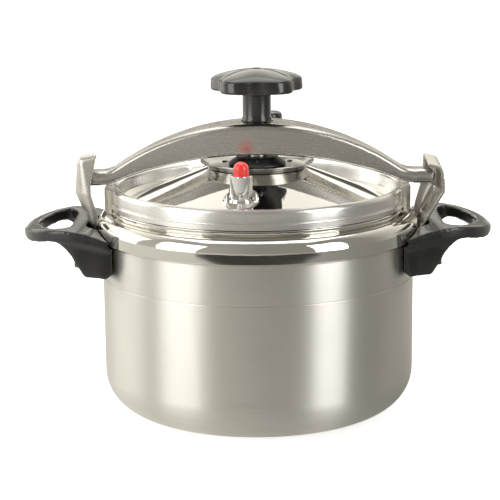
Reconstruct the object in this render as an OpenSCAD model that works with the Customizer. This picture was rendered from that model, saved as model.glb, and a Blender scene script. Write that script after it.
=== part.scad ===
// Clamp-type pressure canner: an aluminium pot, a domed lid, and an arched bar that a star knob
// presses down through a foot. The bar's tongues sit under two hooks behind the side handles.
// Millimetres, +Z up. The origin is the centre of the pot's flat bottom, and the handles lie on X.

/* [Pot] */
// Radius of the pot's wall
pot_r = 120; // [118:0.5:121]
// Thickness of the pot's wall
wall_t = 3; // [2.5:0.5:4]
// Radius of the corner between the bottom and the wall
corner_r = 30; // [24:1:34]
// Radius of the polished bead at the shoulder
bead_r = 123.5; // [122.5:0.1:123.6]
// Height of the top of the pot's rolled lip
lip_z = 158.4; // [158:0.1:158.5]
// Height of the pressed line round the wall
line_z = 105.4; // [60:0.2:115]

/* [Lid] */
// Height of the flat at the crown of the lid
crown_z = 186.5; // [186:0.1:187]
// Radius of the flat at the crown of the lid
crown_r = 37; // [36:0.5:38]
// Thickness of the lid's dome
lid_t = 3; // [2.5:0.25:3.5]
// Height of the rolled rim's top
rim_z = 173.8; // [173:0.1:174]
// Half the width of the flat lugs at the lid's sides
lug_half = 24; // [16:1:26]
// Distance of the lugs' flat faces from the axis
lug_x = 116.6; // [115:0.1:116.8]

/* [Clamp bar] */
// Height of the bar's top at its middle
bar_top_z = 222; // [221.5:0.1:222]
// Height of the bar's underside at its middle
bar_under_z = 198.3; // [198:0.1:199]
// Distance from the middle to the end of the bar's right tongue
bar_right = 136; // [134:0.5:136.5]
// Distance from the middle to the end of the bar's left tongue
bar_left = 132.5; // [131:0.5:132.5]
// Height of the tongues' flat top
tongue_top_z = 184.6; // [184:0.1:184.8]
// Height of the tongues' underside
tongue_low_z = 174.1; // [174.1:0.1:174.8]
// Half the bar's width at the middle
bar_half_w = 21; // [18:0.5:22]
// Half the bar's width at the tongues
tongue_half_w = 10.5; // [9:0.25:11]

/* [Hooks] */
// Thickness of the hooks' plate
hook_t = 2.5; // [2.4:0.1:2.8]
// Half the hooks' width
hook_half = 18; // [16:0.5:18]
// Distance of the left hook's outer face from the pot's axis
hook_x_left = 139.8; // [139.4:0.1:144]
// Distance of the right hook's outer face from the pot's axis
hook_x_right = 142.8; // [139.4:0.1:144]
// Height of the left flap over its stop wall
crest_left = 200.5; // [194:0.5:201]
// Height of the right flap over its stop wall
crest_right = 195.5; // [194:0.5:201]

/* [Knob] */
// Radius of the knob's lobes
knob_r = 36; // [34:0.5:38]
// Depth of the five valleys between the lobes
valley = 6.5; // [3:0.5:8]
// Height of the knob's underside
knob_z = 245; // [243:0.5:246]
// Radius of the knob's neck
neck_r = 10.8; // [10.4:0.1:11]

/* [Handles] */
// Distance of the handles' tips from the pot's axis
handle_tip = 180.5; // [178:0.5:182]
// Half the handles' width at the pot
handle_half = 56; // [54:0.5:57]

/* [Valves] */
// Distance of both valves from the lid's axis
valve_r = 68; // [66:0.5:70]
// Direction of the red pressure pin, in degrees round the lid
float_az = 260; // [255:1:265]
// Direction of the regulator weight, in degrees round the lid
vent_az = 82; // [78:1:90]

/* [Hidden] */
$fn = 96;
fit = 0.05;             // radial clearance of a running or assembled fit
gap = 0.3;              // gap between surfaces of pieces that move past each other
neck_in = 104.5;        // inner radius of the pot's neck
seat_z = 172.8;         // height of the flat seats that the valves stand on
seat_r = 13;            // radius of those seats
slope = (crown_z - 163) / (98 - crown_r);   // fall of the lid's cone per unit of radius
rivet_z = 119;          // height of the rivets that hold the hooks
screw_z = 121;          // height of the screws that hold the handles
screw_y = 45;           // the handle screws' distance from the middle plane
leg_x = 123.9;          // inner face of the hooks' straight legs
bend_z = 168.5;         // height where the hooks start to lean inward
leg_z = 141;            // height where the hooks' straight legs start
turn_r = 14;            // radius of the bend between the hooks' plate and their stop wall

function arc(cx, cz, rx, rz, a0, a1, n) =
    [for (i = [0:n]) let (a = a0 + (a1 - a0) * i / n) [cx + rx * cos(a), cz + rz * sin(a)]];
function smooth(u) = let (v = min(1, max(0, u))) v * v * (3 - 2 * v);
// Catmull-Rom curve through the points of an open line, n steps between each pair.
function curve(p, n = 6) = let (m = len(p) - 1) concat([for (i = [0:m - 1], k = [0:n - 1])
    let (a = p[max(0, i - 1)], b = p[i], c = p[i + 1], d = p[min(m, i + 2)], t = k / n)
    0.5 * (2 * b + (c - a) * t + (2 * a - 5 * b + 4 * c - d) * t * t
           + (3 * b - a - 3 * c + d) * t * t * t)], [p[m]]);
function flip_y(p) = [for (i = [len(p) - 1:-1:0]) [p[i][0], -p[i][1]]];

// Solid skin over a stack of rings with the same number of points.
module skin(rings) {
    n = len(rings[0]);
    m = len(rings);
    polyhedron(points = [for (r = rings) each r], faces = concat(
        [[for (i = [0:n - 1]) i]],
        [for (j = [0:m - 2], i = [0:n - 1]) let (k = (i + 1) % n)
            each [[j * n + i, (j + 1) * n + i, (j + 1) * n + k], [j * n + i, (j + 1) * n + k, j * n + k]]],
        [[for (i = [n - 1:-1:0]) (m - 1) * n + i]]));
}

module tube(r_out, r_in, z0, z1) {
    translate([0, 0, z0]) difference() {
        cylinder(r = r_out, h = z1 - z0);
        translate([0, 0, -1]) cylinder(r = r_in, h = z1 - z0 + 2);
    }
}

module at_float() { translate([valve_r * cos(float_az), valve_r * sin(float_az), 0]) children(); }
module at_vent() { translate([valve_r * cos(vent_az), valve_r * sin(vent_az), 0]) children(); }
// Each side's copy: the handles are mirror images, the hooks are turned half round.
module each_side() { children(); mirror([1, 0, 0]) children(); }
module each_turn() { children(); rotate([0, 0, 180]) children(); }

// ---- Pot ----
module pot_body() color("silver") difference() {
    rotate_extrude($fn = 144) polygon(concat(
        [[0, 0]],
        arc(pot_r - corner_r, corner_r, corner_r, corner_r, -90, 0, 12),
        [[pot_r, line_z - 0.7], [pot_r - 0.5, line_z], [pot_r, line_z + 0.7]],
        [[pot_r, 134.6], [bead_r - 1.4, 135.3], [bead_r - 0.2, 136.6]],
        [for (p = arc(bead_r - 7.5, 143.3, 7.5, 10, 0, 84, 10)) p],
        [[115, 153.9], [112.6, 154.1], [111.4, 154.6], [111.4, 155.2], [112.6, 155.6], [113, 156.2]],
        [[113, lip_z - 0.7], [112.4, lip_z], [neck_in + 0.7, lip_z], [neck_in, lip_z - 0.7]],
        [[neck_in, 152], [109, 149.8], [114, 146], [pot_r - wall_t, 139]],
        arc(pot_r - wall_t - 30, 35, 30, 30, 0, -90, 12),
        [[0, 5]]));
    each_turn() rivet_places() rotate([0, 90, 0]) cylinder(r = 3 + fit, h = 20, center = true, $fn = 32);
}

module rivet_places() for (y = [-9, 9]) translate([pot_r, y, rivet_z]) children();

// ---- Hooks ----
// Outline in plan of one hook's outer or inner skin: a corner of radius r at the stop wall's side.
module hook_plan(x, y, r) polygon(concat([[95, -40], [x, -40]], arc(x - r, y - r, r, r, 0, 90, 10),
    [[95, y]]));

// The block that the hook's outer skin (inset 0) or inner skin (inset hook_t) bounds.
module hook_block(face, crest, inset) {
    x = face - inset;
    y = hook_half - inset;
    hull() {
        translate([0, 0, bend_z]) linear_extrude(0.1) hook_plan(x, y, turn_r - inset);
        for (p = [[x - 6 + inset, -40, 185.8], [x - 8.5 + inset, y - 8 + inset, crest - 2.6]])
            translate([p[0], p[1], p[2] - 6]) sphere(r = 6 - inset, $fn = 32);
        for (p = [[110, -40, 192.8], [110, y - 6 + inset, crest + 2.4]])
            translate([p[0], p[1], p[2] - 6]) sphere(r = 6 - inset, $fn = 32);
    }
    hull() {
        translate([0, 0, bend_z]) linear_extrude(0.1) hook_plan(x, y, turn_r - inset);
        translate([0, 0, leg_z]) linear_extrude(0.1) hook_plan(leg_x + hook_t - inset, y, 4 - inset);
    }
}

// One hook, on the +X side and open towards -Y: a bent plate that curves round into a stop wall at
// its +Y edge, with a sloped flap over the top. face is its outer face's distance from the pot's
// axis, crest the flap's height at the wall, and reach the flap's depth there.
module hook(face, crest, reach) {
    difference() {
        hook_block(face, crest, 0);
        hook_block(face, crest, hook_t);
        // The inside is open below as well.
        translate([90, -41, leg_z - 20]) cube([leg_x - 90, 90, 20.2]);
        // The open side.
        translate([80, -60, 100]) cube([100, 60 - hook_half, 120]);
        // The flap's free edge.
        translate([0, 0, bend_z + 7]) linear_extrude(60) polygon([[60, -40],
            [face - 13, -40], [face - 13, -hook_half], [face - reach, hook_half], [60, 40]]);
        // The stop wall's free edge.
        rotate([90, 0, 0]) linear_extrude(120, center = true) polygon([[60, 100], [leg_x, leg_z - 1],
            [122.7, leg_z], [121.8, 149], [123.2, 155.8], [126.8, bend_z], [126.8, 176],
            [face - reach, crest + 2], [60, 230]]);
        // The groove pressed into the inner face.
        hull() {
            translate([face - 5.6, 9.6, bend_z - 0.5]) sphere(r = 2, $fn = 24);
            translate([(face - 142.8) * 0.5 + 131.3, 8, bend_z - 13]) sphere(r = 2, $fn = 24);
        }
    }
    // The straight leg behind the handle.
    difference() {
        translate([leg_x, -hook_half, 112]) cube([hook_t, 2 * hook_half, leg_z - 112 + 0.05]);
        rivet_places() rotate([0, 90, 0]) cylinder(r = 3 + fit, h = 20, center = true, $fn = 32);
    }
}

module hook_right() color("lightgray") hook(hook_x_right, crest_right, 14.4);
module hook_left() color("lightgray") rotate([0, 0, 180]) hook(hook_x_left, crest_left, 18.8);

// Pads that fill the space between the pot's wall and the hooks' legs.
module hook_pads() color("gray") each_turn() difference() {
    translate([116, -14, 113]) cube([leg_x - 116, 28, 19]);
    translate([0, 0, 100]) cylinder(r = pot_r, h = 50, $fn = 144);
    rivet_places() rotate([0, 90, 0]) cylinder(r = 3 + fit, h = 20, center = true, $fn = 32);
}

module hook_rivets() color("darkgray") each_turn() rivet_places() rotate([0, 90, 0]) {
    translate([0, 0, -3.9]) cylinder(r = 3, h = leg_x + hook_t - pot_r + 3.9, $fn = 32);
    translate([0, 0, leg_x + hook_t - pot_r]) cylinder(r1 = 5, r2 = 3.4, h = 1.8, $fn = 32);
    translate([0, 0, -5.8]) cylinder(r1 = 3.4, r2 = 5, h = 1.9, $fn = 32);
}

// ---- Handles ----
handle_top = concat([[104, 138.4], [113, 140]],
    curve([[120, 142.6], [130, 145.6], [142, 147.4], [154, 147.2], [166, 145.4], [174, 143.6],
           [handle_tip - 1.4, 141.4], [handle_tip, 138.8], [handle_tip - 1.8, 136.2], [174, 135],
           [166, 136], [157, 138]], 3));
handle_side = concat(handle_top,
    curve([[151, 137.8], [146.6, 135.2], [142, 131], [138.4, 126], [136.2, 121]], 3),
    [[134, 118.4], [131, 113.6], [129, 111.9], [113, 110.8], [104, 118]]);
// The rounded band along the top stands out from the web below it.
handle_band = concat(handle_top, [[150, 138.8], [136, 137.6], [120, 134.6], [113, 132.6], [104, 131]]);
handle_plan = curve([[105, handle_half - 4], [113.6, handle_half], [126, handle_half - 1.6],
    [140, handle_half - 4], [151, handle_half - 8], [162, handle_half - 15.5],
    [171.4, handle_half - 27], [177.8, 15], [handle_tip, 0]], 4);
grip_hole = curve([[141, 0], [141.4, 20], [142.8, 32], [146.4, 38.4], [151.4, 38.8], [157.4, 33],
    [163, 22.5], [167.2, 9], [168.2, 0]], 4);

module handle_outline(d) intersection() {
    polygon(concat(handle_plan, flip_y(handle_plan)));
    square([400, 2 * (handle_half - d)], center = true);
}

module handle() difference() {
    union() {
        intersection() {
            rotate([90, 0, 0]) linear_extrude(130, center = true) polygon(handle_band);
            translate([0, 0, 90]) linear_extrude(80) handle_outline(0);
        }
        intersection() {
            rotate([90, 0, 0]) linear_extrude(130, center = true) polygon(handle_side);
            translate([0, 0, 90]) linear_extrude(80) scale([1, 0.966]) handle_outline(0);
        }
    }
    translate([0, 0, 90]) linear_extrude(80) polygon(concat(grip_hole, flip_y(grip_hole)));
    // The face that stands against the pot.
    translate([0, 0, 90]) cylinder(r = pot_r + gap, h = 80, $fn = 144);
    translate([0, 0, 134.2]) cylinder(r = bead_r + gap, h = 40, $fn = 144);
    // The pocket for the hook's leg, its pad and its rivets.
    translate([leg_x - gap, -hook_half - gap, 111]) cube([hook_t + 2 * gap, 2 * hook_half + 2 * gap, 50]);
    translate([110, -14.4, 112]) cube([leg_x - 110, 28.8, 24]);
    for (y = [-9, 9]) translate([leg_x, y, rivet_z]) rotate([0, 90, 0]) cylinder(r = 5.6, h = 5.4, $fn = 32);
    // The mouth round the hook where it leans out of the handle.
    translate([0, 0, 129]) linear_extrude(40) hull()
        for (x = [121, 127.4], y = [-22, 22]) translate([x, y]) circle(r = 3, $fn = 32);
    // Screw holes and the sockets for the studs.
    for (y = [-screw_y, screw_y]) translate([0, y, screw_z]) rotate([0, 90, 0]) {
        cylinder(r = 2.1, h = 150, $fn = 32);
        cylinder(r = 4.1, h = 124, $fn = 32);
        translate([0, 0, 135]) cylinder(r = 3.1, h = 20, $fn = 32);
    }
}
module handle_right() color([0.06, 0.06, 0.06]) handle();
module handle_left() color([0.06, 0.06, 0.06]) mirror([1, 0, 0]) handle();

module handle_screws() color("dimgray") each_side() for (y = [-screw_y, screw_y])
    translate([0, y, screw_z]) rotate([0, 90, 0]) {
        translate([0, 0, 114]) cylinder(r = 2, h = 21.1, $fn = 32);
        translate([0, 0, 135]) cylinder(r1 = 3, r2 = 2.4, h = 2.6, $fn = 32);
    }

// Threaded studs welded to the pot's wall; the handle screws run into them.
module handle_studs() color("gray") each_side() for (y = [-screw_y, screw_y]) difference() {
    translate([104, y, screw_z]) rotate([0, 90, 0]) cylinder(r = 4, h = 19.8, $fn = 32);
    translate([0, 0, 100]) cylinder(r = pot_r, h = 50, $fn = 144);
    translate([113, y, screw_z]) rotate([0, 90, 0]) cylinder(r = 2 + fit, h = 20, $fn = 32);
}

// ---- Lid ----
lid_top = concat([[0, crown_z], [crown_r - 1, crown_z], [crown_r + 1, crown_z - slope]],
    [[95, 163 + 3 * slope], [98, 163.1], [100.6, 162.4], [102.8, 162.5], [104.6, 163.7],
     [105.4, 166], [105.9, 171], [106.8, rim_z - 0.9], [108.6, rim_z], [110.6, rim_z - 0.3],
     [111.9, rim_z - 1.7], [112.2, rim_z - 3.2]],
    [[112.2, 164.4], [111.8, 164], [111.8, 163.5], [113.2, 163.2], [113.5, 162.8]],
    [[113.5, 159.5], [113, 159]]);

module lid_shell() color("gainsboro") difference() {
    union() {
        difference() {
            rotate_extrude($fn = 144) polygon(concat(lid_top,
                [[111, 159], [111, 162], [104, 162], [104, 155.4], [103.6, 155]],
                [[101.6, 155], [101, 155.6], [101, 158.6], [97, 163 + slope - lid_t * 1.08]],
                [[crown_r, crown_z - lid_t * 1.08], [0, crown_z - lid_t * 1.08]]));
            for (v = [float_az, vent_az]) rotate([0, 0, v]) translate([valve_r, 0, 160])
                cylinder(r = seat_r + 1, h = 30, $fn = 64);
        }
        // The pressed seats: sunk on the uphill side and raised on the downhill side.
        for (v = [float_az, vent_az]) intersection() {
            rotate([0, 0, v]) translate([valve_r, 0, seat_z - lid_t]) cylinder(r = seat_r + 2.5, h = 20, $fn = 64);
            rotate_extrude($fn = 144) polygon([[0, 150], [0, crown_z], [crown_r, crown_z],
                [98, 163], [98, 150]]);
        }
        for (v = [float_az, vent_az]) rotate([0, 0, v]) translate([valve_r, 0, 166.6])
            cylinder(r = seat_r + 1.2, h = seat_z - 166.6, $fn = 64);
        // The flat lugs.
        difference() {
            translate([0, 0, 155]) linear_extrude(18) for (s = [-1, 1]) scale([s, 1])
                polygon([[100, -lug_half - 4], [109.4, -lug_half - 4], [lug_x, -lug_half + 9],
                    [lug_x, lug_half - 9], [109.4, lug_half + 4], [100, lug_half + 4]]);
            translate([0, 0, 162.5]) cylinder(r = 107.5, h = 20, $fn = 144);
        }
    }
    for (v = [float_az, vent_az]) rotate([0, 0, v]) translate([valve_r, 0, seat_z])
        cylinder(r = seat_r, h = 30, $fn = 64);
    for (v = [float_az, vent_az]) rotate([0, 0, v]) translate([valve_r, 0, 150])
        cylinder(r = 6 + fit, h = 60, $fn = 48);
    // Underneath, the lugs clear the pot's lip, and the rim keeps its gasket groove.
    translate([0, 0, 150]) cylinder(r = 113.4, h = 9, $fn = 144);
    tube(111, 104, 150, 162);
    dish_rivet_places() translate([0, 0, 180]) cylinder(r = 2 + fit, h = 12, $fn = 24);
}

module lid_gasket() color("dimgray") tube(110.7, 104.3, lip_z + gap, 161.7, $fn = 144);

// Flared dish that takes the foot's thrust.
module pressure_dish() color("silver") difference() {
    rotate_extrude($fn = 128) polygon([[0, crown_z], [36.6, crown_z], [37.8, crown_z + 0.4],
        [42.9, crown_z + 4], [43.6, crown_z + 4.5], [43.7, crown_z + 5], [43.2, crown_z + 5.3],
        [42.4, crown_z + 5.1], [37, crown_z + 1.9], [36, crown_z + 1.6], [0, crown_z + 1.6]]);
    dish_rivet_places() translate([0, 0, 180]) cylinder(r = 2 + fit, h = 12, $fn = 24);
}
module dish_rivet_places() for (a = [30, 150, 270]) rotate([0, 0, a]) translate([29, 0, 0]) children();
module dish_rivets() color("darkgray") dish_rivet_places() {
    translate([0, 0, crown_z - lid_t * 1.08]) cylinder(r = 2, h = lid_t * 1.08 + 1.6, $fn = 24);
    translate([0, 0, crown_z + 1.6]) cylinder(r1 = 3.6, r2 = 2.2, h = 1.2, $fn = 24);
    translate([0, 0, crown_z - lid_t * 1.08 - 1.2]) cylinder(r1 = 2.2, r2 = 3.6, h = 1.2, $fn = 24);
}

// ---- Pressure pin valve ----
module float_sleeve() color("whitesmoke") at_float() difference() {
    union() {
        translate([0, 0, seat_z]) cylinder(r = 9.6, h = 1.1);
        translate([0, 0, seat_z]) cylinder(r = 8.25, h = 17.7);
        translate([0, 0, seat_z + 17.7]) cylinder(r1 = 8.25, r2 = 7.7, h = 0.6);
        translate([0, 0, 159.4]) cylinder(r = 6, h = 14);
    }
    translate([0, 0, 150]) cylinder(r = 3.1, h = 60, $fn = 48);
    translate([0, 0, seat_z + 9]) cylinder(r = 6.2, h = 20, $fn = 48);
    translate([0, 0, seat_z + 3.8]) rotate([90, 0, 0]) cylinder(r = 0.8, h = 20, $fn = 24);
}
module float_seal() color("dimgray") at_float() tube(11, 6 + fit, 165.3, 166.6);
module float_nut() color("silver") at_float() difference() {
    translate([0, 0, 160.3]) cylinder(r = 11, h = 5, $fn = 6);
    translate([0, 0, 158]) cylinder(r = 6 + fit, h = 12, $fn = 48);
}
module float_pin() color("silver") at_float() {
    translate([0, 0, 153.4]) cylinder(r = 4.8, h = 1.6, $fn = 48);
    translate([0, 0, 155]) cylinder(r = 3, h = seat_z + 9.3 - 155, $fn = 48);
}
module float_cap() color("tomato") at_float() {
    translate([0, 0, seat_z + 9.3]) cylinder(r = 5.65, h = 13.6, $fn = 64);
    translate([0, 0, seat_z + 22.9]) intersection() {
        sphere(r = 5.65, $fn = 64);
        cylinder(r = 8, h = 8);
    }
}

// ---- Regulator ----
module vent_pipe() color("silver") at_vent() difference() {
    union() {
        translate([0, 0, seat_z]) cylinder(r = 9, h = 3);
        translate([0, 0, seat_z]) cylinder(r = 4, h = 26);
        translate([0, 0, seat_z + 26]) cylinder(r1 = 4, r2 = 2.4, h = 2.4);
        translate([0, 0, 159.4]) cylinder(r = 6, h = 14);
    }
    translate([0, 0, 150]) cylinder(r = 1.4, h = 60, $fn = 32);
}
module vent_seal() color("dimgray") at_vent() tube(11, 6 + fit, 165.3, 166.6);
module vent_nut() color("silver") at_vent() difference() {
    translate([0, 0, 160.3]) cylinder(r = 11, h = 5, $fn = 6);
    translate([0, 0, 158]) cylinder(r = 6 + fit, h = 12, $fn = 48);
}
module regulator_weight() color("silver") at_vent() difference() {
    rotate_extrude() polygon([[0, 181], [9.6, 181], [10.4, 181.8], [10.4, 203.2], [9.8, 204], [9.8, 206],
        [0, 206]]);
    translate([0, 0, 180]) cylinder(r = 4 + gap, h = 22, $fn = 48);
}
module regulator_cap() color([0.08, 0.08, 0.08]) at_vent() rotate_extrude() polygon(concat(
    [[0, 206], [10.2, 206], [10.8, 206.8]], arc(7.8, 216.4, 3, 3.4, 0, 90, 8), [[0, 220.2]]));

// ---- Clamp bar ----
rise_r = 190;           // radius of the bar's top arc
foot_r = 20;            // radius of the hollow where the arc runs into the tongues
flat_x = sqrt(pow(rise_r + foot_r, 2) - pow(tongue_top_z + foot_r - bar_top_z + rise_r, 2));
under_r = 283;          // radius of the bar's underside arc
sole_r = 40;            // radius of the hollow where the underside runs into the tongues
sole_x = sqrt(pow(under_r + sole_r, 2) - pow(tongue_low_z + sole_r - bar_under_z + under_r, 2));
function bar_top(x) = let (a = abs(x)) a < flat_x * rise_r / (rise_r + foot_r)
    ? bar_top_z - rise_r + sqrt(rise_r * rise_r - a * a)
    : a < flat_x ? tongue_top_z + foot_r - sqrt(foot_r * foot_r - pow(flat_x - a, 2)) : tongue_top_z;
function bar_low(x) = let (a = abs(x)) a < sole_x * under_r / (under_r + sole_r)
    ? bar_under_z - under_r + sqrt(under_r * under_r - a * a)
    : a < sole_x ? tongue_low_z + sole_r - sqrt(sole_r * sole_r - pow(sole_x - a, 2)) : tongue_low_z;
function bar_w(x) = tongue_half_w + (bar_half_w - tongue_half_w) * (1 - smooth(abs(x) / 120));
// How far the ends round in, for an end radius of 4.
function bar_end(x) = let (u = max(0, abs(x) - (x < 0 ? bar_left : bar_right) + 4))
    4 - sqrt(16 - min(15.9, u * u));
function bar_ring(x) = let (d = bar_end(x), w = bar_w(x) - d, t = bar_top(x) - d, b = bar_low(x) + d,
    r = min(4.5, 0.55 * (t - b)), q = min(2, 0.3 * (t - b)))
    [for (p = concat(arc(w - r, t - r, r, r, 0, 90, 5), arc(r - w, t - r, r, r, 90, 180, 5),
        arc(q - w, b + q, q, q, 180, 270, 3), arc(w - q, b + q, q, q, 270, 360, 3))) [x, p[0], p[1]]];
function bar_side(m) = concat([for (i = [1:25]) i * 5],
    [m - 3.2, m - 1.8, m - 0.8, m - 0.2, m]);
bar_xs = let (l = bar_side(bar_left)) concat([for (i = [len(l) - 1:-1:0]) -l[i]], [0],
    bar_side(bar_right));

module clamp_bar() color("silver") difference() {
    skin([for (x = bar_xs) bar_ring(x)]);
    translate([0, 0, 180]) cylinder(r = 11 + fit, h = 60);
    // The knob's collar sinks into this when the bar is screwed up.
    translate([0, 0, bar_top_z - 2.9]) cylinder(r = 12.3, h = 10);
}
module bar_bush() color("goldenrod") tube(11, 8 + fit, bar_under_z + 0.2, bar_top_z - 3);

// ---- Screw, foot and knob ----
module pressure_foot() color("silver") difference() {
    rotate_extrude() polygon([[0, 188.5], [20.6, 188.5], [22, 189.1], [22, 190], [15.6, 194.6],
        [14.6, 195], [0, 195]]);
    translate([0, 0, 190.2]) cylinder(r = 6 + fit, h = 10);
    translate([0, 0, 192.6]) rotate([90, 0, 0]) cylinder(r = 1.2 + fit, h = 30, $fn = 24);
}
module foot_pin() color("gray") translate([0, -6.4, 192.6]) rotate([90, 0, 0]) cylinder(r = 1.2, h = 10.4, $fn = 24);
module clamp_spindle() color("gray") {
    translate([0, 0, 190.5]) cylinder(r = 6, h = 5);
    translate([0, 0, 195.2]) cylinder(r = 8, h = 27.8);
    translate([0, 0, 223]) cylinder(r = 6, h = 26, $fn = 48);
}

function lobe_r(a) = knob_r - valley * pow((1 + cos(5 * (a + 90))) / 2, 1.5);
knob_n = 90;
// One ring of the knob: the lobed outline drawn in by d and mixed towards a circle of radius c.
function knob_ring(d, mix, c, z) = [for (i = [0:knob_n - 1]) let (a = 360 * i / knob_n,
    r = (lobe_r(a) - d) * (1 - mix) + c * mix) [r * cos(a), r * sin(a), z]];
knob_rings = concat(
    [knob_ring(0, 1, 4, 222.2), knob_ring(0, 1, 11.1, 222.2), knob_ring(0, 1, 11.7, 222.7),
     knob_ring(0, 1, 11.7, 223.8), knob_ring(0, 1, 11, 225), knob_ring(0, 1, neck_r, 227),
     knob_ring(0, 1, neck_r, knob_z - 4), knob_ring(0, 1, neck_r + 0.7, knob_z - 1.6),
     knob_ring(0, 1, neck_r + 2.6, knob_z - 0.2)],
    [knob_ring(2.4, 0.15, 20, knob_z), knob_ring(1, 0, 0, knob_z + 0.3), knob_ring(0.25, 0, 0, knob_z + 1),
     knob_ring(0, 0, 0, knob_z + 2), knob_ring(0.3, 0, 0, knob_z + 8), knob_ring(0.6, 0, 0, knob_z + 9),
     knob_ring(1.3, 0, 0, knob_z + 9.9), knob_ring(2.6, 0, 0, knob_z + 10.7)],
    [for (f = [0.94, 0.84, 0.7, 0.54, 0.38, 0.24]) [for (p = knob_ring(3, 1 - f, knob_r - 5, 0))
        [f * p[0], f * p[1], knob_z + 11.2 + 5.8 * (1 - f * f)]]],
    [knob_ring(0, 1, 4.6, knob_z + 17)]);
module knob() color([0.07, 0.07, 0.07]) difference() {
    skin([for (r = knob_rings) [for (i = [knob_n - 1:-1:0]) r[i]]]);
    translate([0, 0, 220]) cylinder(r = 8.2, h = 30, $fn = 48);
    translate([0, 0, 240]) cylinder(r = 2.6, h = 30, $fn = 32);
    translate([0, 0, 257.4]) cylinder(r = 4, h = 10, $fn = 48);
}
module knob_insert() color("goldenrod") tube(8.2, 6 + fit, 223.2, 249.4);
module knob_screw() color("dimgray") {
    translate([0, 0, 249.6]) cylinder(r = 2.5, h = 8, $fn = 32);
    translate([0, 0, 257.5]) cylinder(r = 3.8, h = 2.4, $fn = 48);
}

pot_body();
handle_left();
handle_right();
hook_left();
hook_right();
hook_pads();
hook_rivets();
handle_screws();
handle_studs();
lid_gasket();
lid_shell();
pressure_dish();
dish_rivets();
float_sleeve();
float_seal();
float_nut();
vent_pipe();
vent_seal();
vent_nut();
clamp_bar();
bar_bush();
pressure_foot();
foot_pin();
clamp_spindle();
knob();
knob_insert();
knob_screw();
float_pin();
float_cap();
regulator_weight();
regulator_cap();
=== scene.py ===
import math

import bpy
from mathutils import Matrix, Vector


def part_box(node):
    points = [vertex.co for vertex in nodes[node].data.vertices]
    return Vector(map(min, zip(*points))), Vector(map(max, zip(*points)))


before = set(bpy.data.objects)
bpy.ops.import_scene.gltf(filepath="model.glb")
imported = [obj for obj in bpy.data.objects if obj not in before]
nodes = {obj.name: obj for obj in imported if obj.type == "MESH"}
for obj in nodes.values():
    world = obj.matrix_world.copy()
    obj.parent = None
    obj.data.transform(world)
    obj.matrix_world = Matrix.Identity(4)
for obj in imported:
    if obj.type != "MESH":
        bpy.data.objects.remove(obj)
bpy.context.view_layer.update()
scene = bpy.context.scene


# ---------------------------------------------------------------- node helpers
ONE_INPUT = ("SQRT", "SINE", "COSINE")
MIX_A, MIX_B, MIX_COLOUR = 6, 7, 2     # the colour sockets of a Mix node, in and out


class Mat:
    """A procedural material and short calls for making its nodes."""

    def __init__(self, name):
        self.m = bpy.data.materials.new(name)
        self.m.use_nodes = True
        self.t = self.m.node_tree
        self.t.nodes.clear()
        self.out = self.t.nodes.new("ShaderNodeOutputMaterial")
        self.p = self.t.nodes.new("ShaderNodeBsdfPrincipled")
        self.t.links.new(self.p.outputs[0], self.out.inputs["Surface"])

    def put(self, socket, value):
        """Sets a constant on a socket, or links another node's output to it."""
        if isinstance(value, bpy.types.NodeSocket):
            self.t.links.new(value, socket)
        elif isinstance(value, (tuple, list)) and len(value) == 3 and len(socket.default_value) == 4:
            socket.default_value = (*value, 1.0)
        else:
            socket.default_value = value

    def shader(self, **kw):
        """Sets or links inputs of the Principled shader, with _ for a space in their names."""
        for key, value in kw.items():
            self.put(self.p.inputs[key.replace("_", " ")], value)

    def new(self, kind, **kw):
        n = self.t.nodes.new(kind)
        for key, value in kw.items():
            setattr(n, key, value)
        return n

    def coord(self):
        return self.new("ShaderNodeTexCoord").outputs["Object"]

    def math(self, op, a, b=0.0, clamp=False):
        n = self.new("ShaderNodeMath", operation=op, use_clamp=clamp)
        self.put(n.inputs[0], a)
        if op not in ONE_INPUT:
            self.put(n.inputs[1], b)
        return n.outputs[0]

    def scaled(self, v, s):
        n = self.new("ShaderNodeVectorMath", operation="MULTIPLY")
        self.put(n.inputs[0], v)
        n.inputs[1].default_value = s
        return n.outputs[0]

    def noise(self, v, scale, detail=3.0, rough=0.5):
        n = self.new("ShaderNodeTexNoise")
        self.put(n.inputs["Vector"], v)
        n.inputs["Scale"].default_value = scale
        n.inputs["Detail"].default_value = detail
        n.inputs["Roughness"].default_value = rough
        return n.outputs["Fac"]

    def range(self, v, a, b, c, d):
        n = self.new("ShaderNodeMapRange")
        self.put(n.inputs["Value"], v)
        for i, x in enumerate((a, b, c, d)):
            n.inputs[i + 1].default_value = x
        return n.outputs["Result"]

    def mix(self, f, a, b):
        n = self.new("ShaderNodeMix", data_type="RGBA")
        self.put(n.inputs["Factor"], f)
        self.put(n.inputs[MIX_A], a)
        self.put(n.inputs[MIX_B], b)
        return n.outputs[MIX_COLOUR]

    def bump(self, h, dist):
        n = self.new("ShaderNodeBump")
        n.inputs["Strength"].default_value = 1.0
        n.inputs["Distance"].default_value = dist
        self.put(n.inputs["Height"], h)
        return n.outputs["Normal"]

    def polar(self, centre=(0.0, 0.0)):
        """(angle round Z, radius, height) of a point, for marks left by turning and spinning."""
        s = self.new("ShaderNodeSeparateXYZ")
        self.put(s.inputs[0], self.coord())
        x = self.math("SUBTRACT", s.outputs[0], centre[0])
        y = self.math("SUBTRACT", s.outputs[1], centre[1])
        a = self.math("ARCTAN2", y, x)
        squares = self.math("ADD", self.math("MULTIPLY", x, x), self.math("MULTIPLY", y, y))
        r = self.math("SQRT", squares)
        return a, r, s.outputs[2]

    def vec(self, x, y, z):
        n = self.new("ShaderNodeCombineXYZ")
        for i, v in enumerate((x, y, z)):
            self.put(n.inputs[i], v)
        return n.outputs[0]


def darker(colour, share):
    return tuple(c * (1 - share) for c in colour)


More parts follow.
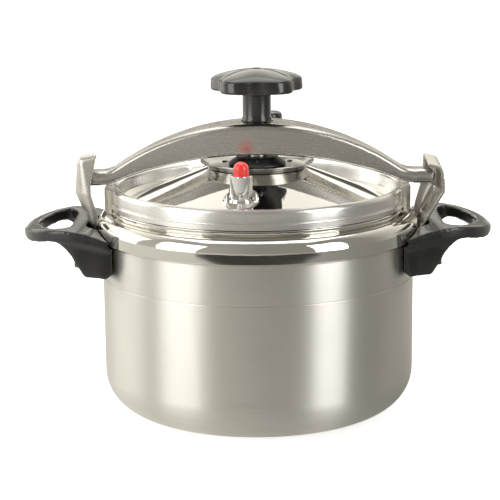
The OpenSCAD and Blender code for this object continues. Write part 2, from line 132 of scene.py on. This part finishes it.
def spun_metal(name, colour, rough, anis, lines, depth, tint=0.06, spread=0.05, zone=None):
    """Metal with fine circumferential lines, as spinning, turning or brushing leaves.

    zone is (what, from, to, other): the roughness changes to other where the height ("z") or the
    radius ("r") passes through the interval."""
    m = Mat(name)
    a, r, z = m.polar()
    along = m.vec(m.math("MULTIPLY", a, 0.02), r, z)
    fine = m.noise(m.scaled(along, (lines * 0.35, lines, lines)), 1.0, 4.0, 0.6)
    wide = m.noise(m.scaled(along, (lines * 0.1, lines * 0.12, lines * 0.12)), 1.0, 2.0, 0.5)
    cloud = m.noise(m.coord(), 22.0, 3.0, 0.55)
    lined = m.mix(m.range(fine, 0.3, 0.7, 0.0, 1.0), darker(colour, tint), colour)
    clouded = m.mix(m.range(cloud, 0.35, 0.75, 0.0, 0.35), lined, darker(colour, 1.6 * tint))
    m.shader(Base_Color=clouded, Metallic=1.0)
    rr = m.math("ADD", m.range(wide, 0.3, 0.7, rough - spread, rough + spread),
                m.range(cloud, 0.3, 0.7, -0.015, 0.02))
    if zone:
        f = m.range(z if zone[0] == "z" else r, zone[1], zone[2], 0.0, 1.0)
        other = m.range(cloud, 0.3, 0.7, zone[3] * 0.85, zone[3] * 1.2)
        rr = m.math("ADD", m.math("MULTIPLY", rr, m.math("SUBTRACT", 1.0, f)), m.math("MULTIPLY", other, f))
    m.shader(Roughness=rr)
    if anis:
        m.shader(Anisotropic=anis, Anisotropic_Rotation=0.25)
        t = m.new("ShaderNodeTangent", direction_type="RADIAL", axis="Z")
        m.put(m.p.inputs["Tangent"], t.outputs[0])
    m.put(m.p.inputs["Normal"], m.bump(fine, depth))
    return m.m


def polished_metal(name, colour, rough, scratch=0.00002, tint=0.05):
    """Buffed metal with faint polishing marks along X and cloudy haze."""
    m = Mat(name)
    c = m.coord()
    haze = m.noise(c, 30.0, 4.0, 0.6)
    marks = m.noise(m.scaled(c, (14.0, 1300.0, 1300.0)), 1.0, 3.0, 0.6)
    m.shader(Base_Color=m.mix(m.range(haze, 0.35, 0.7, 0.0, 1.0), darker(colour, tint), colour), Metallic=1.0)
    hazy = m.range(haze, 0.3, 0.7, rough * 0.8, rough * 1.25)
    marked = m.range(marks, 0.4, 0.75, 0.0, rough * 0.5)
    m.shader(Roughness=m.math("ADD", hazy, marked))
    m.put(m.p.inputs["Normal"], m.bump(marks, scratch))
    return m.m


def moulded(name, colour, rough, coat, grain=0.00006):
    """Moulded plastic: a fine orange-peel skin and slight wear in the gloss."""
    m = Mat(name)
    c = m.coord()
    peel = m.noise(c, 900.0, 2.0, 0.5)
    wear = m.noise(c, 45.0, 4.0, 0.6)
    worn = tuple(x * 1.5 + 0.002 for x in colour)
    m.shader(Base_Color=m.mix(m.range(wear, 0.35, 0.75, 0.0, 1.0), colour, worn))
    m.shader(Roughness=m.range(wear, 0.3, 0.75, rough - 0.04, rough + 0.08), Metallic=0.0, IOR=1.52)
    m.shader(Coat_Weight=coat, Coat_Roughness=0.12)
    m.put(m.p.inputs["Normal"], m.bump(peel, grain))
    return m.m


def rubber(name, colour):
    m = Mat(name)
    c = m.coord()
    grain = m.noise(c, 1400.0, 3.0, 0.6)
    dust = m.noise(c, 60.0, 4.0, 0.6)
    dusty = tuple(x * 1.6 for x in colour)
    m.shader(Base_Color=m.mix(m.range(dust, 0.35, 0.75, 0.0, 1.0), colour, dusty))
    m.shader(Roughness=m.range(dust, 0.3, 0.7, 0.55, 0.75), Metallic=0.0)
    m.put(m.p.inputs["Normal"], m.bump(grain, 0.00005))
    return m.m


ALU = (0.80, 0.785, 0.735)
base_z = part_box("pot_body")[0].z
line_z = base_z + 0.1352      # the polished bead starts here
rim_r = 0.1046                # and the lid's rim is satin outside this radius
mats = {
    "pot": spun_metal("pot_satin_aluminium", ALU, 0.40, 0.92, 2600.0, 0.000002, tint=0.06, spread=0.02,
                      zone=("z", line_z - 0.0001, line_z + 0.0001, 0.06)),
    "lid": spun_metal("lid_polished_aluminium", (0.86, 0.85, 0.82), 0.045, 0.35, 900.0, 0.000004,
                      tint=0.03, spread=0.01, zone=("r", rim_r - 0.0004, rim_r + 0.0004, 0.24)),
    "bar": polished_metal("bar_polished_aluminium", (0.58, 0.565, 0.53), 0.21, 0.000002),
    "dish": spun_metal("dish_spun_aluminium", (0.50, 0.49, 0.46), 0.22, 0.0, 1200.0, 0.000002,
                       tint=0.05, spread=0.02),
    "hook": polished_metal("hook_polished_steel", (0.66, 0.635, 0.59), 0.27, 0.00002, 0.08),
    "bright": polished_metal("bright_fasteners", (0.68, 0.68, 0.67), 0.20),
    "dark": polished_metal("dark_screws", (0.16, 0.16, 0.17), 0.32),
    "brass": spun_metal("turned_brass", (0.78, 0.60, 0.30), 0.24, 0.0, 1500.0, 0.00001),
    "chrome": spun_metal("chrome_valves", (0.88, 0.88, 0.88), 0.06, 0.0, 700.0, 0.000003,
                         tint=0.02, spread=0.01),
    "bakelite": moulded("handle_bakelite", (0.012, 0.012, 0.013), 0.26, 0.5),
    "knob": moulded("knob_bakelite", (0.010, 0.010, 0.011), 0.20, 0.6),
    "red": moulded("red_cap", (0.86, 0.045, 0.035), 0.20, 0.6, 0.00002),
    "rubber": rubber("seal_rubber", (0.03, 0.03, 0.03)),
}
use = {
    "pot": ["pot_body"],
    "lid": ["lid_shell"],
    "bar": ["clamp_bar"],
    "dish": ["pressure_dish"],
    "hook": ["hook_left", "hook_right"],
    "bright": ["hook_pads", "hook_rivets", "handle_studs", "dish_rivets", "float_nut", "vent_nut",
               "clamp_spindle", "float_pin"],
    "dark": ["handle_screws", "foot_pin", "knob_screw", "pressure_foot"],
    "brass": ["bar_bush", "knob_insert"],
    "chrome": ["float_sleeve", "vent_pipe", "regulator_weight"],
    "bakelite": ["handle_left", "handle_right"],
    "knob": ["knob", "regulator_cap"],
    "red": ["float_cap"],
    "rubber": ["lid_gasket", "float_seal", "vent_seal"],
}
for key, names in use.items():
    for n in names:
        nodes[n].data.materials.clear()
        nodes[n].data.materials.append(mats[key])


SHARP = 35.0                  # edges with a larger angle than this stay sharp, in degrees


def smooth(n, voxel=0.0, rounds=0):
    """Smooth shading with sharp edges kept. A voxel size rounds a moulded or pressed piece's edges."""
    o = nodes[n]
    for p in o.data.polygons:
        p.use_smooth = True
    w = o.modifiers.new("weld", "WELD")
    w.merge_threshold = 0.00001
    if voxel:
        r = o.modifiers.new("soft", "REMESH")
        r.mode = "VOXEL"
        r.voxel_size = voxel
        r.use_smooth_shade = True
        k = o.modifiers.new("round", "SMOOTH")
        k.factor = 0.5
        k.iterations = rounds
        return
    s = o.modifiers.new("facets", "EDGE_SPLIT")
    s.split_angle = math.radians(SHARP)
    h = o.modifiers.new("even", "WEIGHTED_NORMAL")
    h.weight = 80
    h.keep_sharp = True


# Voxel size in metres and rounds of smoothing for the pieces with rounded edges.
soft = {"handle_left": (0.0011, 5), "handle_right": (0.0011, 5),
        "hook_left": (0.0006, 3), "hook_right": (0.0006, 3)}
for n in nodes:
    smooth(n, *soft.get(n, (0.0, 0)))


# ---------------------------------------------------------------- stage, lights, camera
FLOOR_Y = 0.6                 # the floor's centre is behind the object
bpy.ops.mesh.primitive_plane_add(size=8.0, location=(0, FLOOR_Y, base_z - 0.0002))
floor = bpy.context.object
floor.name = "floor"
f = Mat("floor_pale")
patchy = f.range(f.noise(f.coord(), 4.0), 0.3, 0.7, 0.0, 1.0)
f.shader(Base_Color=f.mix(patchy, (0.90, 0.90, 0.90), (0.93, 0.93, 0.93)), Roughness=0.8)
f.shader(Emission_Color=(1.0, 1.0, 1.0), Emission_Strength=0.62)
# In reflections the floor is greyer, and brighter behind the object and on its left.
angle = f.polar((0.0, -FLOOR_Y))[0]
to_left = f.math("MULTIPLY", f.math("COSINE", angle), -0.25)
to_back = f.math("MULTIPLY", f.math("SINE", angle), 0.15, True)
dim = f.new("ShaderNodeEmission")
dim.inputs["Color"].default_value = (1.0, 0.97, 0.88, 1.0)
f.put(dim.inputs["Strength"], f.math("ADD", f.math("ADD", to_left, to_back), 0.52))
pick = f.new("ShaderNodeMixShader")
seen = f.new("ShaderNodeLightPath")
f.t.links.new(seen.outputs["Is Camera Ray"], pick.inputs[0])
f.t.links.new(dim.outputs[0], pick.inputs[1])
f.t.links.new(f.p.outputs[0], pick.inputs[2])
f.t.links.new(pick.outputs[0], f.out.inputs["Surface"])
floor.data.materials.append(f.m)

world = bpy.data.worlds.new("studio")
scene.world = world
world.use_nodes = True
wt = world.node_tree
room = wt.nodes["Background"]
room.inputs["Color"].default_value = (1.0, 0.96, 0.86, 1.0)
white = wt.nodes.new("ShaderNodeBackground")
white.inputs["Color"].default_value = (1.0, 1.0, 1.0, 1.0)
either = wt.nodes.new("ShaderNodeMixShader")
path = wt.nodes.new("ShaderNodeLightPath")
wt.links.new(path.outputs["Is Camera Ray"], either.inputs[0])
# Seen in the metal, the room is brightest behind the object and on its left.
direction = wt.nodes.new("ShaderNodeTexCoord")
way = wt.nodes.new("ShaderNodeSeparateXYZ")
wt.links.new(direction.outputs["Generated"], way.inputs[0])


def wmath(op, a, b, clamp=False):
    """A Math node in the world's tree."""
    n = wt.nodes.new("ShaderNodeMath")
    n.operation, n.use_clamp = op, clamp
    for i, v in enumerate((a, b)):
        if isinstance(v, bpy.types.NodeSocket):
            wt.links.new(v, n.inputs[i])
        else:
            n.inputs[i].default_value = v
    return n.outputs[0]


left = wmath("MULTIPLY", way.outputs[0], -0.25, True)
right = wmath("MULTIPLY", way.outputs[0], 0.5, True)
rear = wmath("MULTIPLY", way.outputs[1], 1.0, True)
back = wmath("MULTIPLY", rear, wmath("SUBTRACT", 1.25, right))
glow = wmath("ADD", wmath("ADD", back, left), 0.30)
# A dark gap low behind the object, between the floor and the backdrop.
above = wmath("MULTIPLY", wmath("SUBTRACT", way.outputs[2], 0.03), 25.0, True)
below = wmath("MULTIPLY", wmath("SUBTRACT", 0.24, way.outputs[2]), 25.0, True)
behind = wmath("MULTIPLY", wmath("SUBTRACT", way.outputs[1], 0.35), 4.0, True)
gap = wmath("MULTIPLY", wmath("MULTIPLY", above, below), behind)
shade = wmath("SUBTRACT", 1.0, wmath("MULTIPLY", gap, 0.93))
wt.links.new(wmath("MULTIPLY", glow, shade), room.inputs["Strength"])
wt.links.new(room.outputs[0], either.inputs[1])
wt.links.new(white.outputs[0], either.inputs[2])
wt.links.new(either.outputs[0], wt.nodes["World Output"].inputs["Surface"])


def softbox(name, az, dist, z, w, h, radiance):
    """An area light at azimuth az (0 is the front, positive to the right), facing the object."""
    a = math.radians(az)
    where = Vector((math.sin(a) * dist, -math.cos(a) * dist, z))
    light = bpy.data.lights.new(name, "AREA")
    light.shape = "RECTANGLE"
    light.size, light.size_y = w, h
    light.energy = radiance * math.pi * w * h
    o = bpy.data.objects.new(name, light)
    scene.collection.objects.link(o)
    o.location = where
    o.rotation_euler = (Vector((0, 0, 0.12)) - where).to_track_quat("-Z", "Y").to_euler()


def flag(name, az, dist, z, w, h):
    """A dark card that only reflections see, as photographers lay round polished metal."""
    a = math.radians(az)
    bpy.ops.mesh.primitive_plane_add(size=1.0, location=(math.sin(a) * dist, -math.cos(a) * dist, z))
    o = bpy.context.object
    o.name = name
    o.scale = (w, h, 1)
    o.rotation_euler = (0, 0, a)
    o.visible_camera = o.visible_shadow = o.visible_diffuse = False
    m = Mat(name)
    m.shader(Base_Color=(0.004, 0.004, 0.004), Roughness=1.0)
    o.data.materials.append(m.m)


# Name, azimuth in degrees, distance and height in metres, width and length, radiance.
softbox("left_box", -57, 1.5, 0.50, 0.86, 1.5, 2.6)
softbox("right_box", 51, 1.5, 0.50, 0.66, 1.5, 3.4)
softbox("top_box", 180, 0.25, 1.6, 1.5, 1.3, 1.6)
softbox("far_left_box", -110, 1.6, 0.55, 1.2, 1.3, 1.0)
flag("front_flag", 0, 0.66, base_z + 0.004, 0.90, 0.30)

axis_x = 0.5 * (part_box("pot_body")[0].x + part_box("pot_body")[1].x)
aim = Vector((axis_x, 0.0, 0.1207))
away = 1.32                   # from the camera to the point it aims at, in metres
elev = math.radians(12.35)    # how far the camera looks down
roll = math.radians(-0.5)
cam = bpy.data.cameras.new("camera")
cam.sensor_width = 36.0
cam.lens = 122.4
cam.shift_x = -0.016
cam.clip_start = 0.05
cam_o = bpy.data.objects.new("camera", cam)
scene.collection.objects.link(cam_o)
cam_o.location = aim + Vector((0, -away * math.cos(elev), away * math.sin(elev)))
turn = Matrix.Rotation(math.radians(90) - elev, 3, "X") @ Matrix.Rotation(roll, 3, "Z")
cam_o.rotation_euler = turn.to_euler()
scene.camera = cam_o
scene.view_settings.view_transform = "Standard"
